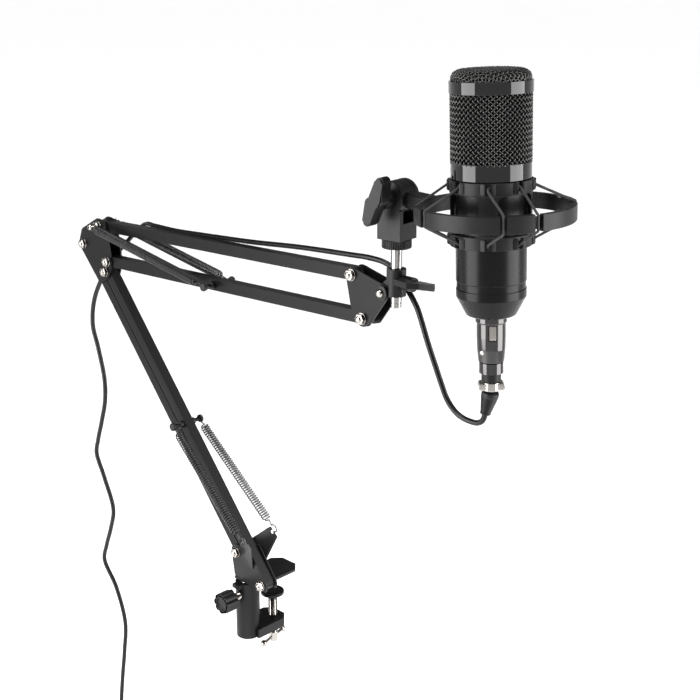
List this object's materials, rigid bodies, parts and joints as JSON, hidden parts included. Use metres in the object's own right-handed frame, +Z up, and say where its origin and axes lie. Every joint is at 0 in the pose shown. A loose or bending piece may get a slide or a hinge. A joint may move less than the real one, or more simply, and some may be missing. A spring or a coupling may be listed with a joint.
{
  "type": "condenser microphone",
  "caption": "Condenser microphone hung on elastics in a ring mount, on a sprung scissor boom arm with a desk clamp, with its plugged lead.",
  "frame": {"origin": "underside of the upper clamp jaw, on the axis of the clamp screw", "axes": "+Z up, +Y over the desk, +X towards the microphone"},
  "size_m": [0.5416, 0.1024, 0.7548],
  "materials": {
    "black_paint": "satin black powder coat, fine orange peel",
    "nickel": "bright nickel plate",
    "spring_steel": "zinc plated spring wire",
    "black_spring": "black spring wire",
    "moulded_black": "moulded black nylon, soft sheen",
    "satin_black": "satin black lacquer",
    "gloss_black": "gloss black chrome",
    "grille_mesh": "black lacquered woven wire",
    "gold_film": "gold film on a brass ring",
    "circuit_green": "green solder mask",
    "elastic": "braided black elastic cord",
    "rubber_boot": "matt black rubber",
    "lead_jacket": "smooth black PVC jacket",
    "jack_metal": "plated jack in a black sleeve"
  },
  "bodies": {
    "desk_clamp": {"clamp_frame": "black_paint"},
    "clamp_pad": {"pressure_pad": "moulded_black"},
    "clamp_screw": {"clamp_screw": "nickel"},
    "tommy_bar": {"tommy_bar": "nickel"},
    "socket_knob": {"socket_knob": "moulded_black"},
    "base_bracket": {"base_yoke": "black_paint", "base_post": "nickel", "base_bolt_rear": "nickel", "base_bolt_front": "nickel"},
    "lower_rear_bar": {"lower_rear_bar": "black_paint"},
    "lower_front_bar": {"lower_front_bar": "black_paint", "lower_spring_pin": "moulded_black"},
    "lower_springs": {"lower_spring_near": "spring_steel", "lower_spring_far": "spring_steel"},
    "elbow": {"elbow_near_plate": "black_paint", "elbow_far_plate": "black_paint", "elbow_bolt_rear": "nickel", "elbow_bolt_front": "nickel", "elbow_bolt_top": "nickel", "elbow_bolt_bottom": "nickel", "lead_drop": "lead_jacket", "lead_coil": "lead_jacket", "jack_plug": "jack_metal"},
    "upper_top_bar": {"upper_top_bar": "black_paint", "lead_arm": "lead_jacket"},
    "upper_bottom_bar": {"upper_bottom_bar": "black_paint", "upper_spring_pin": "moulded_black"},
    "upper_springs": {"upper_spring_near": "black_spring", "upper_spring_far": "black_spring"},
    "upper_spring_tails": {"upper_spring_tail_near": "black_spring", "upper_spring_tail_far": "black_spring"},
    "head": {"head_near_plate": "black_paint", "head_far_plate": "black_paint", "head_bolt_top": "nickel", "head_bolt_bottom": "nickel", "head_rivet": "nickel", "lead_loop": "lead_jacket"},
    "rod_clamp": {"rod_clamp": "moulded_black"},
    "wing_screw": {"wing_screw": "moulded_black"},
    "mount_rod": {"mount_rod": "nickel", "lock_collar": "moulded_black"},
    "mount_base": {"mount_base": "moulded_black"},
    "tilt_knob": {"tilt_knob": "moulded_black"},
    "mount_ring": {"mount_ring": "moulded_black"},
    "microphone": {"cradle": "moulded_black", "mic_body": "satin_black", "head_grille": "grille_mesh", "upper_band": "gloss_black", "lower_band": "gloss_black", "capsule": "gold_film", "circuit_board": "circuit_green", "mic_connector": "moulded_black", "plug_shell": "gloss_black", "plug_clamp": "nickel", "plug_boot": "rubber_boot", "elastic_1": "elastic", "elastic_2": "elastic", "elastic_3": "elastic", "elastic_4": "elastic"},
    "plug_latch": {"plug_latch": "nickel"}
  },
  "joints": [
    {"name": "pad_travel", "type": "slide", "parent": "desk_clamp", "child": "clamp_pad", "axis": [0, 0, 1], "range_m": [-0.0176, 0.0111]},
    {"name": "screw_turn", "type": "hinge", "parent": "clamp_pad", "child": "clamp_screw", "pos_m": [0, 0, -0.062], "axis": [0, 0, 1], "range_deg": [-5040, 3168]},
    {"name": "tommy_bar_slide", "type": "slide", "parent": "clamp_screw", "child": "tommy_bar", "axis": [-0.2291, 0.9734, 0], "range_m": [-0.0075, 0.0075]},
    {"name": "socket_knob_turn", "type": "hinge", "parent": "desk_clamp", "child": "socket_knob", "pos_m": [0, -0.052, -0.009], "axis": [0, 1, 0], "range_deg": [-360, 360]},
    {"name": "base_swivel", "type": "hinge", "parent": "desk_clamp", "child": "base_bracket", "pos_m": [0, -0.028, 0], "axis": [0, 0, 1], "continuous": true},
    {"name": "lower_arm_tilt", "type": "hinge", "parent": "base_bracket", "child": "lower_rear_bar", "pos_m": [-0.0055, -0.028, 0.028], "axis": [0, 1, 0], "range_deg": [0, 75], "deforming": ["lead_drop"]},
    {"name": "lower_front_tilt", "type": "hinge", "parent": "base_bracket", "child": "lower_front_bar", "pos_m": [0.0239, -0.028, 0.0077], "axis": [0, 1, 0], "range_deg": [0, 75]},
    {"name": "lower_spring_swing", "type": "hinge", "parent": "base_bracket", "child": "lower_springs", "pos_m": [0.0147, -0.028, 0.048], "axis": [0, 1, 0], "range_deg": [0, 99], "deforming": ["lower_spring_near", "lower_spring_far"]},
    {"name": "elbow_level", "type": "hinge", "parent": "lower_rear_bar", "child": "elbow", "pos_m": [-0.19713, -0.028, 0.25882], "axis": [0, 1, 0], "range_deg": [-75, 0]},
    {"name": "upper_arm_tilt", "type": "hinge", "parent": "elbow", "child": "upper_top_bar", "pos_m": [-0.17423, -0.028, 0.27772], "axis": [0, 1, 0], "range_deg": [-35, 40], "deforming": ["lead_arm"]},
    {"name": "upper_bottom_tilt", "type": "hinge", "parent": "elbow", "child": "upper_bottom_bar", "pos_m": [-0.16403, -0.028, 0.24792], "axis": [0, 1, 0], "range_deg": [-35, 40]},
    {"name": "head_level", "type": "hinge", "parent": "upper_top_bar", "child": "head", "pos_m": [0.12563, -0.028, 0.28678], "axis": [0, 1, 0], "range_deg": [-40, 35]},
    {"name": "upper_spring_swing", "type": "hinge", "parent": "elbow", "child": "upper_springs", "pos_m": [-0.17423, -0.028, 0.27772], "axis": [0, 1, 0], "range_deg": [-31.7, 36.2]},
    {"name": "upper_spring_stretch", "type": "slide", "parent": "upper_springs", "child": "upper_spring_tails", "axis": [0.9855, 0, -0.1699], "range_m": [-0.0157, 0.0179], "deforming": ["upper_spring_near", "upper_spring_far", "upper_spring_tail_near", "upper_spring_tail_far"]},
    {"name": "head_tilt", "type": "hinge", "parent": "head", "child": "rod_clamp", "pos_m": [0.15443, -0.028, 0.27898], "axis": [0, 1, 0], "range_deg": [-30, 30], "deforming": ["lead_loop"]},
    {"name": "wing_screw_turn", "type": "hinge", "parent": "rod_clamp", "child": "wing_screw", "pos_m": [0.1763, -0.028, 0.2877], "axis": [1, 0, 0], "range_deg": [-180, 90]},
    {"name": "rod_slide", "type": "slide", "parent": "rod_clamp", "child": "mount_rod", "axis": [0, 0, 1], "range_m": [-0.009, 0.007]},
    {"name": "mount_turn", "type": "hinge", "parent": "mount_rod", "child": "mount_base", "pos_m": [0.1623, -0.028, 0.32], "axis": [0, 0, 1], "range_deg": [-90, 90]},
    {"name": "mount_tilt", "type": "hinge", "parent": "mount_base", "child": "mount_ring", "pos_m": [0.1623, -0.028, 0.3456], "axis": [-0.0899, 0.9959, 0], "range_deg": [-60, 15]},
    {"name": "tilt_knob_turn", "type": "hinge", "parent": "mount_base", "child": "tilt_knob", "pos_m": [0.1623, -0.028, 0.3456], "axis": [-0.0899, 0.9959, 0], "range_deg": [-90, 180]},
    {"name": "cradle_bounce", "type": "slide", "parent": "mount_ring", "child": "microphone", "axis": [-0.04, -0.0036, 0.9992], "range_m": [-0.004, 0.004], "stiffness_N_per_m": 3000, "springref_m": 0.0015, "deforming": ["elastic_1", "elastic_2", "elastic_3", "elastic_4"]},
    {"name": "latch_press", "type": "slide", "parent": "microphone", "child": "plug_latch", "axis": [-0.6911, 0.7223, -0.025], "range_m": [0, 0.001], "stiffness_N_per_m": 800}
  ],
  "couplings": [
    {"joint": "pad_travel", "follows": "screw_turn", "m_per_rad": 0.00019894},
    {"joint": "lower_front_tilt", "follows": "lower_arm_tilt", "ratio": 1},
    {"joint": "elbow_level", "follows": "lower_arm_tilt", "ratio": -1},
    {"joint": "lower_spring_swing", "follows": "lower_arm_tilt", "ratio": 1.32},
    {"joint": "upper_bottom_tilt", "follows": "upper_arm_tilt", "ratio": 1},
    {"joint": "head_level", "follows": "upper_arm_tilt", "ratio": -1},
    {"joint": "upper_spring_swing", "follows": "upper_arm_tilt", "ratio": 0.905},
    {"joint": "upper_spring_stretch", "follows": "upper_arm_tilt", "m_per_rad": 0.0255}
  ]
}
